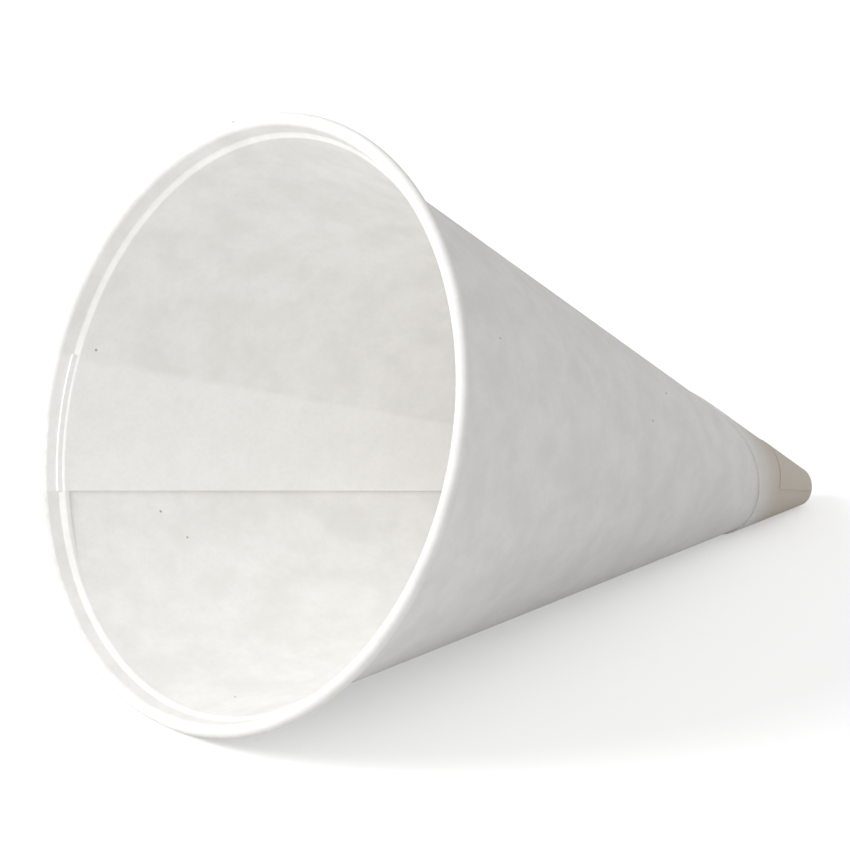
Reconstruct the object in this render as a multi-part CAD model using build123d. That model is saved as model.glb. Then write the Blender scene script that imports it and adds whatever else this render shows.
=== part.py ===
from build123d import *
from math import asin, atan, atan2, cos, degrees, hypot, radians, sin
import os

# A rolled-rim cone cup: one blank of paper wound into a cone and glued along a
# wide overlap, its rim curled outward and its point folded shut.  It lies on
# its side.  It is built in the cup's own frame, where the rim's mid-plane is
# z = 0, +Z runs down into the cone and +X is the side that ends up underneath,
# and is laid down at the end.

# ---- Driving dimensions (mm and degrees) --------------------------------------
RIM_DIAMETER = 73.0          # over the rolled rim
ROLL_DIAMETER = 1.68         # the roll itself
PAPER = 0.24                 # one layer
CUP_DEPTH = 96.0             # rim mid-plane to the blunt point
APEX_DEPTH = 101.0           # rim mid-plane to where the wall's lines would meet
APEX_OFFSET = 5.0            # the cone is wound a little out of square
WALL_AT_RIM = 34.62          # radius of the wall's outer face, carried up to z = 0

LEDGE_TOP = 1.2              # small pressed step inside, below the roll
LEDGE_BOTTOM = 1.7
LEDGE_ROUND = 0.35
JOIN = 2.1                   # the rim ends and the plain wall starts here
INNER_TURN_RADIUS = 0.5      # second, smaller turn of the curl
INNER_TURN_ANGLE = 200.0

INNER_EDGE = 60.0            # angle of the straight cut edge inside the cup
RISE = 18.0                  # the sheet climbs over that edge within this angle
EDGE_REACH = 20.9            # how near the outer cut edge's line passes the apex
EDGE_SLANT = 0.04            # that line's slant to the inner edge
OVERLAP_TOP = 0.9            # the outer layer runs up under the roll
FINE_STEPS_UNTIL = 60.0      # the outer edge is steep as far as this depth

HOLLOW_DEPTH = 86.0          # the folds of the point fill the cone from here
HOLLOW_END = 92.5
HOLLOW_END_RADIUS = 0.6
POINT_ROUND = 3.2            # radius of the blunt point
TAB_TOP = 85.2               # the last fold of the point, a small tab
TAB_START = 150.0
TAB_END = 262.0
TAB_THICKNESS = 0.12

REST_FLAT = 0.15             # the soft roll is pressed flat this deep where it rests

# ---- Derived dimensions ---------------------------------------------------------
ROLL_CENTRE = (RIM_DIAMETER - ROLL_DIAMETER) / 2
ROLL_RADIUS = ROLL_DIAMETER / 2
TAPER = WALL_AT_RIM / APEX_DEPTH
HALF_ANGLE = atan(TAPER)
LAYER = PAPER / cos(HALF_ANGLE)      # one layer, measured across the cup's axis
FLATTENED = sin(HALF_ANGLE)          # angle on the flat blank for an angle of turn


def wall_radius(depth):
    """Radius of the first layer's outer face."""
    return TAPER * (APEX_DEPTH - depth)


def wall_centre(depth):
    """The wall's centre drifts off the rim's axis towards the point."""
    return Vector(-APEX_OFFSET * (depth - JOIN) / (APEX_DEPTH - JOIN), 0, depth)


def around(depth, radius, angle):
    """Point on the circle of that radius about the wall's centre."""
    turn = radians(angle)
    return wall_centre(depth) + Vector(radius * cos(turn), radius * sin(turn), 0)


# ---- Rim --------------------------------------------------------------------------
def rolled_rim():
    """The curl, the short wall under it and the ledge, turned about the rim's axis."""
    down_wall = Vector(-sin(HALF_ANGLE), cos(HALF_ANGLE))
    off_wall = Vector(-cos(HALF_ANGLE), -sin(HALF_ANGLE))
    middle = ROLL_RADIUS - PAPER / 2
    roll_start = Vector(ROLL_CENTRE, 0) + off_wall * middle
    ledge_top = roll_start + down_wall * ((LEDGE_TOP - roll_start.Y) / down_wall.Y)
    ledge_bottom = Vector(wall_radius(LEDGE_BOTTOM) - LAYER / 2, LEDGE_BOTTOM)
    past_join = Vector(wall_radius(JOIN + 1) - LAYER / 2, JOIN + 1)
    wall_line = FilletPolyline(past_join, ledge_bottom, ledge_top, roll_start, radius=LEDGE_ROUND)

    first_angle = 180 + degrees(HALF_ANGLE)
    outer_turn = CenterArc((ROLL_CENTRE, 0), middle, first_angle, 450 - first_angle)
    inner_centre = (ROLL_CENTRE, middle - INNER_TURN_RADIUS)
    inner_turn = CenterArc(inner_centre, INNER_TURN_RADIUS, 90, INNER_TURN_ANGLE)

    middle_line = Wire(wall_line.edges() + outer_turn.edges() + inner_turn.edges())
    outline = middle_line.offset_2d(PAPER / 2, kind=Kind.ARC, side=Side.BOTH)
    past_join_room = Pos(ROLL_CENTRE, JOIN + 5) * Rectangle(20, 10)
    section = Sketch() + Face(outline) - past_join_room
    upright = Plane(origin=(0, 0, 0), x_dir=(1, 0, 0), z_dir=(0, -1, 0))
    return revolve(upright * section, axis=Axis.Z)


# ---- Wall -------------------------------------------------------------------------
def wound_face(depth, radius):
    """Section of a wound sheet: round, then rising by one layer to a step."""
    start = around(depth, radius, INNER_EDGE)
    opposite = around(depth, radius, INNER_EDGE + 170)
    rise_start = around(depth, radius, INNER_EDGE - RISE)
    rise_middle = around(depth, radius + 0.4 * LAYER, INNER_EDGE - RISE / 2)
    rise_end = around(depth, radius + LAYER, INNER_EDGE)
    edges = [
        Edge.make_three_point_arc(start, opposite, rise_start),
        Edge.make_three_point_arc(rise_start, rise_middle, rise_end),
        Edge.make_line(rise_end, start),
    ]
    return Face(Wire(edges))


def wound_cone(bottom, lift):
    """Solid wound cone from the join down, its face that far off the wall's outer face."""
    faces = [wound_face(depth, wall_radius(depth) + lift) for depth in (JOIN, bottom)]
    return loft(Sketch() + faces, ruled=True)


def hollow():
    """The inside of the cup, closed at the end by the folds of the point."""
    top = Plane(wall_centre(HOLLOW_DEPTH)) * Circle(wall_radius(HOLLOW_DEPTH) - LAYER)
    end = Plane(wall_centre(HOLLOW_END)) * Circle(HOLLOW_END_RADIUS)
    folds = loft(Sketch() + [top, end], ruled=True)
    return wound_cone(HOLLOW_DEPTH, -LAYER) + folds


# ---- Second layer -----------------------------------------------------------------
def outer_edge_depth(angle):
    """Depth of the straight outer cut edge, wound round the cone."""
    flat = radians(angle - INNER_EDGE) * FLATTENED
    slant_length = EDGE_REACH / (sin(flat) + EDGE_SLANT * cos(flat))
    return APEX_DEPTH - slant_length * cos(HALF_ANGLE)


def outer_edge_meets_rim():
    """Angle at which the outer cut edge comes out from under the roll."""
    across = EDGE_REACH * cos(HALF_ANGLE) / (APEX_DEPTH - OVERLAP_TOP)
    flat = asin(across / hypot(1, EDGE_SLANT)) - atan(EDGE_SLANT)
    return INNER_EDGE + degrees(flat) / FLATTENED


def layer_patch(angles, top_depth, low, high):
    """One more layer on the wall, from its top edge down to the point.

    top_depth gives the edge's depth at an angle; low and high are how far the
    layer's two faces stand off the wall's outer face.
    """
    share = [i / (len(angles) - 1) for i in range(len(angles))]

    def rail(depth_at, lift):
        points = []
        for angle in angles:
            depth = depth_at(angle)
            points.append(around(depth, wall_radius(depth) + lift, angle))
        return Edge.make_spline(points, parameters=share)

    def point_depth(angle):
        return CUP_DEPTH

    rails = [rail(top_depth, low), rail(top_depth, high), rail(point_depth, high), rail(point_depth, low)]
    sides = [Face.make_surface_from_curves(a, b) for a, b in zip(rails, rails[1:] + rails[:1])]
    ends = [Face(Wire.make_polygon([line @ end for line in rails])) for end in (0, 1)]
    return Solid(Shell(sides + ends))


def seam_overlap():
    """The glued strip from the inner cut edge to where the outer one meets the rim."""
    span = outer_edge_meets_rim() - INNER_EDGE
    angles = [INNER_EDGE + span * i / 6 for i in range(7)]
    return layer_patch(angles, lambda angle: OVERLAP_TOP, -LAYER / 2, LAYER)


def point_wrap():
    """The rest of the outer layer, which the slanting cut takes round the point."""
    last = INNER_EDGE + 360 - RISE
    angles = [outer_edge_meets_rim()]
    while angles[-1] < last - 10:
        steep = outer_edge_depth(angles[-1]) < FINE_STEPS_UNTIL
        angles.append(angles[-1] + (3 if steep else 10))
    return layer_patch(angles + [last], outer_edge_depth, -LAYER / 2, LAYER)


def point_tab():
    """The last fold of the point, pressed down on the wrap."""
    steps = 12
    angles = [TAB_START + (TAB_END - TAB_START) * i / steps for i in range(steps + 1)]
    return layer_patch(angles, lambda angle: TAB_TOP, LAYER / 2, LAYER + TAB_THICKNESS)


# ---- Whole cup --------------------------------------------------------------------
def blunt(cup):
    """Round the point off to a ball."""
    centre = wall_centre(CUP_DEPTH - POINT_ROUND)
    room = Pos(*centre) * Cylinder(8, 10, align=(Align.CENTER, Align.CENTER, Align.MIN))
    return cup - (room - Pos(*centre) * Sphere(POINT_ROUND))


def lay_down(cup):
    """Turn the cup on its side, resting on the roll's flat and on the point."""
    point = max(
        (v for v in cup.vertices() if v.Z > CUP_DEPTH - POINT_ROUND),
        key=lambda v: v.X + TAPER * v.Z,
    )
    run = point.Z
    drop = ROLL_CENTRE - point.X
    lean = degrees(atan2(drop, run) + asin((ROLL_RADIUS - REST_FLAT) / hypot(drop, run)))
    lying = Rot(0, 90 + lean, 0) * cup
    box = lying.bounding_box()
    middle = box.center()
    lying = Pos(-middle.X, -middle.Y, -box.min.Z - REST_FLAT) * lying
    floor = Box(400, 400, 20, align=(Align.CENTER, Align.CENTER, Align.MAX))
    return lying - floor


def main():
    wall = wound_cone(CUP_DEPTH, 0) + seam_overlap() + point_wrap() + point_tab()
    cup = blunt(wall - hollow()) + rolled_rim()
    cup = lay_down(cup)
    os.makedirs("parts", exist_ok=True)
    export_step(cup, "parts/cone_cup.step")


if __name__ == "__main__":
    main()
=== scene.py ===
import math

import bpy
from bpy.props import FloatProperty, FloatVectorProperty, PointerProperty
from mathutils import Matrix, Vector

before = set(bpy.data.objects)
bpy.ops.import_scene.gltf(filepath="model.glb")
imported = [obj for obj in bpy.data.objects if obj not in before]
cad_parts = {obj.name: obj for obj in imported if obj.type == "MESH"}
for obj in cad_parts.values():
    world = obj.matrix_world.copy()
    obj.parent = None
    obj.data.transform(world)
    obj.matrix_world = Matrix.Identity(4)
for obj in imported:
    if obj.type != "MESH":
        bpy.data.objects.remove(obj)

bl_info = {
    "name": "Cone Paper Cup",
    "version": (1, 0, 0),
    "blender": (4, 5, 0),
    "location": "View3D > Sidebar > Cone Cup",
    "description": "Gives a cone paper cup its paper and sets it on a pale floor",
    "category": "Object",
}

MM = 0.001

# Where the cup lies, in the frame: its lean, the middle of its rim, and how far its point is offset.
LEAN = math.radians(112.2277)
RIM_CENTRE = Vector((-0.038157, 0.0, 0.033699))
POINT_OFFSET = 5.0 / 101.0
# The glued overlap, as angles round the cup: one crisp side and one soft side.
OVERLAP_START = (59.6, 60.2)
OVERLAP_END = (86.0, 88.5)
# The wrap of the point, along the floor.
POINT_FROM, POINT_TO = 0.036, 0.043
SPECK_SPACING = 6.5 * MM
FIBRE_LENGTH = 0.7 * MM

FLOOR_SIZE = 6.0
KEY = {"place": (-0.55, 0.22, 0.42), "aim": (-0.02, 0, 0.035), "size": 0.4}
FILL = {"place": (-0.45, -0.45, 0.35), "aim": (0, 0, 0.03), "size": 0.5}
CAMERA_PLACE = Vector((-0.3668, -0.4261, 0.2460))
CAMERA_AIM = Vector((-0.0092, 0.0023, 0.0255))


def linear(code):
    """The linear colour of an sRGB hex code, with alpha 1."""
    parts = [int(code[i:i + 2], 16) / 255 for i in (1, 3, 5)]
    light = [c / 12.92 if c <= 0.04045 else ((c + 0.055) / 1.055) ** 2.4 for c in parts]
    return light + [1.0]


def node(tree, kind, inputs=None, **settings):
    """Adds a shader node. An input is a value, or another node's output socket to link from."""
    n = tree.nodes.new(kind)
    for name, value in settings.items():
        setattr(n, name, value)
    for key, value in (inputs or {}).items():
        if isinstance(value, bpy.types.NodeSocket):
            tree.links.new(value, n.inputs[key])
        else:
            n.inputs[key].default_value = value
    return n


def ramp(tree, value, low, high, to_low=0.0, to_high=1.0):
    """A smooth step of a value from low..high to to_low..to_high."""
    return node(tree, "ShaderNodeMapRange",
                {0: value, 1: low, 2: high, 3: to_low, 4: to_high},
                interpolation_type="SMOOTHSTEP").outputs[0]


def mix(tree, factor, a, b, blend="MIX"):
    """Mixes two colours."""
    return node(tree, "ShaderNodeMix", {0: factor, 6: a, 7: b},
                data_type="RGBA", blend_type=blend).outputs[2]


def azimuth(tree, place):
    """The angle in degrees round the cup's own axis, from the side that it lies on towards the seam."""
    seat = node(tree, "ShaderNodeVectorMath", {0: place, 1: -RIM_CENTRE},
                operation="ADD").outputs[0]
    # deep runs from the rim to the point and under to the side that the cup lies on. The
    # point's offset is taken out of under; the seam's side is Y.
    deep = Vector((math.sin(LEAN), 0.0, math.cos(LEAN)))
    under = Vector((math.cos(LEAN), 0.0, -math.sin(LEAN))) + deep * POINT_OFFSET
    across = node(tree, "ShaderNodeVectorMath", {0: seat, 1: under},
                  operation="DOT_PRODUCT").outputs["Value"]
    beside = node(tree, "ShaderNodeSeparateXYZ", {0: seat}).outputs["Y"]
    angle = node(tree, "ShaderNodeMath", {0: beside, 1: across},
                 operation="ARCTAN2").outputs[0]
    return node(tree, "ShaderNodeMath", {0: angle}, operation="DEGREES").outputs[0]


def paper_material(look):
    """Uncoated bleached kraft cup paper, rolled from one sheet: matt, and cloudy."""
    mat = bpy.data.materials.new("bleached_kraft_cup_paper")
    mat.use_nodes = True
    t = mat.node_tree
    t.nodes.clear()
    place = node(t, "ShaderNodeTexCoord").outputs["Object"]
    # Formation: soft clouds a few millimetres across, seen as faint grey and white patches.
    cloud = node(t, "ShaderNodeTexNoise", {"Vector": place, "Scale": 1 / (look.cloud * MM),
                                           "Detail": 6.0, "Roughness": 0.62}).outputs[0]
    colour = mix(t, ramp(t, cloud, 0.3, 0.7), linear("#EBEAE7"), linear("#F4F3F1"))
    # Overlap: two sheets let less light through, so the glued strip inside looks whiter.
    turn = azimuth(t, place)
    strip = node(t, "ShaderNodeMath", {0: ramp(t, turn, *OVERLAP_START),
                                       1: ramp(t, turn, *OVERLAP_END, 1.0, 0.0)},
                 operation="MULTIPLY").outputs[0]
    strip = node(t, "ShaderNodeMath", {0: strip, 1: look.overlap},
                 operation="MULTIPLY").outputs[0]
    colour = mix(t, strip, colour, linear("#FBFAF8"))
    # Fibres: short fine streaks that break up the clouds close to.
    fibre = node(t, "ShaderNodeTexNoise", {"Vector": place, "Scale": 1 / FIBRE_LENGTH,
                                           "Detail": 3.0, "Distortion": 1.2}).outputs[0]
    colour = mix(t, ramp(t, fibre, 0.35, 0.7, 0.0, 0.16), colour, linear("#E2E0DC"))
    # The point: its colour turns warmer and darker towards the tip.
    along = node(t, "ShaderNodeSeparateXYZ", {0: place}).outputs["X"]
    colour = mix(t, ramp(t, along, POINT_FROM, POINT_TO, 0.0, look.point_warmth),
                 colour, linear("#CFC4B6"))
    # Specks: a few dark bits in the pulp, well under half a millimetre.
    cells = node(t, "ShaderNodeTexVoronoi", {"Vector": place, "Scale": 1 / SPECK_SPACING})
    spot = ramp(t, cells.outputs["Distance"], 0.018, 0.034, 0.75, 0.0)
    colour = mix(t, spot, colour, linear("#8C847A"))
    # Relief: the fibre tooth catches grazing light, and the clouds cockle the sheet slightly.
    tooth = node(t, "ShaderNodeBump", {"Height": fibre, "Distance": 0.03 * MM,
                                       "Strength": 0.5})
    cockle = node(t, "ShaderNodeBump", {"Height": cloud, "Distance": 0.12 * MM,
                                        "Strength": 0.5, "Normal": tooth.outputs[0]})
    shader = node(t, "ShaderNodeBsdfPrincipled",
                  {"Base Color": colour, "Roughness": look.roughness,
                   "Normal": cockle.outputs[0]})
    shader.inputs["Specular IOR Level"].default_value = 0.25
    out = node(t, "ShaderNodeOutputMaterial")
    t.links.new(shader.outputs[0], out.inputs[0])
    return mat


def floor_material(stage):
    """Matt white sweep paper: it keeps the shadow, and reaches white in front of the camera."""
    mat = bpy.data.materials.new("matt_white_sweep_paper")
    mat.use_nodes = True
    t = mat.node_tree
    t.nodes.clear()
    matt = node(t, "ShaderNodeBsdfDiffuse", {"Color": list(stage.floor_colour) + [1.0]})
    seen = node(t, "ShaderNodeLightPath").outputs["Is Camera Ray"]
    lift = node(t, "ShaderNodeMath", {0: seen, 1: stage.floor_lift},
                operation="MULTIPLY").outputs[0]
    glow = node(t, "ShaderNodeEmission", {"Strength": lift})
    both = node(t, "ShaderNodeAddShader", {0: matt.outputs[0], 1: glow.outputs[0]})
    out = node(t, "ShaderNodeOutputMaterial")
    t.links.new(both.outputs[0], out.inputs[0])
    return mat


class CONECUP_PG_paper(bpy.types.PropertyGroup):
    """The paper's look."""
    cloud: FloatProperty(
        name="Cloud size (mm)", description="Size of the formation clouds in the sheet",
        default=5.0, min=0.5, max=30)
    roughness: FloatProperty(
        name="Roughness", description="How matt the sheet is",
        default=0.85, min=0, max=1, subtype="FACTOR")
    overlap: FloatProperty(
        name="Overlap", description="How much whiter the glued strip looks",
        default=0.6, min=0, max=1, subtype="FACTOR")
    point_warmth: FloatProperty(
        name="Point warmth", description="How far the point turns beige",
        default=0.8, min=0, max=1, subtype="FACTOR")


class CONECUP_PG_stage(bpy.types.PropertyGroup):
    """The floor, lights and camera."""
    floor_colour: FloatVectorProperty(
        name="Floor colour", description="Linear colour of the floor",
        default=(0.8, 0.8, 0.8), subtype="COLOR")
    floor_lift: FloatProperty(
        name="Floor lift", description="Light added to the floor in front of the camera",
        default=0.42, min=0, max=2)
    key_power: FloatProperty(
        name="Key light", description="Power of the large light over the mouth side",
        default=3.2, min=0, subtype="POWER", unit="POWER")
    fill_power: FloatProperty(
        name="Fill light", description="Power of the light beside the camera",
        default=0.3, min=0, subtype="POWER", unit="POWER")
    world_light: FloatProperty(
        name="Room light", description="Strength of the light from all round",
        default=0.6, min=0, max=4)
    lens: FloatProperty(
        name="Lens", description="Focal length on a 36 mm sensor",
        default=211.8, min=20, max=500, unit="CAMERA")


class CONECUP_OT_paper(bpy.types.Operator):
    """Give the cup its paper"""
    bl_idname = "conecup.paper"
    bl_label = "Cup paper"

    def execute(self, context):
        cup = bpy.data.objects["cone_cup"]
        cup.data.materials.clear()
        cup.data.materials.append(paper_material(context.scene.conecup_paper))
        return {"FINISHED"}


class CONECUP_OT_stage(bpy.types.Operator):
    """Add the floor, the lights and the camera"""
    bl_idname = "conecup.stage"
    bl_label = "Stage"

    def area_light(self, name, power, place, aim, size):
        """Adds a round soft light that faces a point."""
        data = bpy.data.lights.new(name, "AREA")
        data.shape, data.size, data.energy = "DISK", size, power
        light = bpy.data.objects.new(name, data)
        bpy.context.scene.collection.objects.link(light)
        light.location = place
        towards = Vector(aim) - Vector(place)
        light.rotation_euler = towards.to_track_quat("-Z", "Y").to_euler()

    def execute(self, context):
        stage = context.scene.conecup_stage
        bpy.ops.object.select_all(action="DESELECT")
        bpy.ops.mesh.primitive_plane_add(size=FLOOR_SIZE, location=(0, 0, 0))
        floor = context.active_object
        floor.name = "floor"
        floor.data.materials.append(floor_material(stage))

        self.area_light("key", stage.key_power, **KEY)
        self.area_light("fill", stage.fill_power, **FILL)

        world = bpy.data.worlds.new("white_room")
        context.scene.world = world
        world.use_nodes = True
        t = world.node_tree
        t.nodes.clear()
        seen = node(t, "ShaderNodeLightPath").outputs["Is Camera Ray"]
        strength = node(t, "ShaderNodeMapRange",
                        {0: seen, 3: stage.world_light, 4: 1.0}).outputs[0]
        sky = node(t, "ShaderNodeBackground", {"Color": (1, 1, 1, 1), "Strength": strength})
        out = node(t, "ShaderNodeOutputWorld")
        t.links.new(sky.outputs[0], out.inputs[0])
        context.scene.view_settings.view_transform = "Standard"

        data = bpy.data.cameras.new("camera")
        data.lens, data.sensor_width = stage.lens, 36.0
        data.clip_start, data.clip_end = 0.01, 20.0
        camera = bpy.data.objects.new("camera", data)
        context.scene.collection.objects.link(camera)
        camera.location = CAMERA_PLACE
        towards = CAMERA_AIM - CAMERA_PLACE
        camera.rotation_euler = towards.to_track_quat("-Z", "Y").to_euler()
        context.scene.camera = camera
        return {"FINISHED"}


class CONECUP_PT_panel(bpy.types.Panel):
    """Cone cup controls"""
    bl_idname = "CONECUP_PT_panel"
    bl_label = "Cone Cup"
    bl_space_type = "VIEW_3D"
    bl_region_type = "UI"
    bl_category = "Cone Cup"

    def draw(self, context):
        scene = context.scene
        for label, group, operator in (("Paper", scene.conecup_paper, "conecup.paper"),
                                       ("Stage", scene.conecup_stage, "conecup.stage")):
            box = self.layout.box()
            box.label(text=label)
            for name in group.__annotations__:
                box.prop(group, name)
            box.operator(operator)


CLASSES = (CONECUP_PG_paper, CONECUP_PG_stage, CONECUP_OT_paper, CONECUP_OT_stage,
           CONECUP_PT_panel)


def register():
    for c in CLASSES:
        bpy.utils.register_class(c)
    bpy.types.Scene.conecup_paper = PointerProperty(type=CONECUP_PG_paper)
    bpy.types.Scene.conecup_stage = PointerProperty(type=CONECUP_PG_stage)


def unregister():
    del bpy.types.Scene.conecup_stage
    del bpy.types.Scene.conecup_paper
    for c in reversed(CLASSES):
        bpy.utils.unregister_class(c)


def main():
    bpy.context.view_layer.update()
    register()
    bpy.ops.conecup.paper()
    bpy.ops.conecup.stage()


if __name__ == "__main__":
    main()
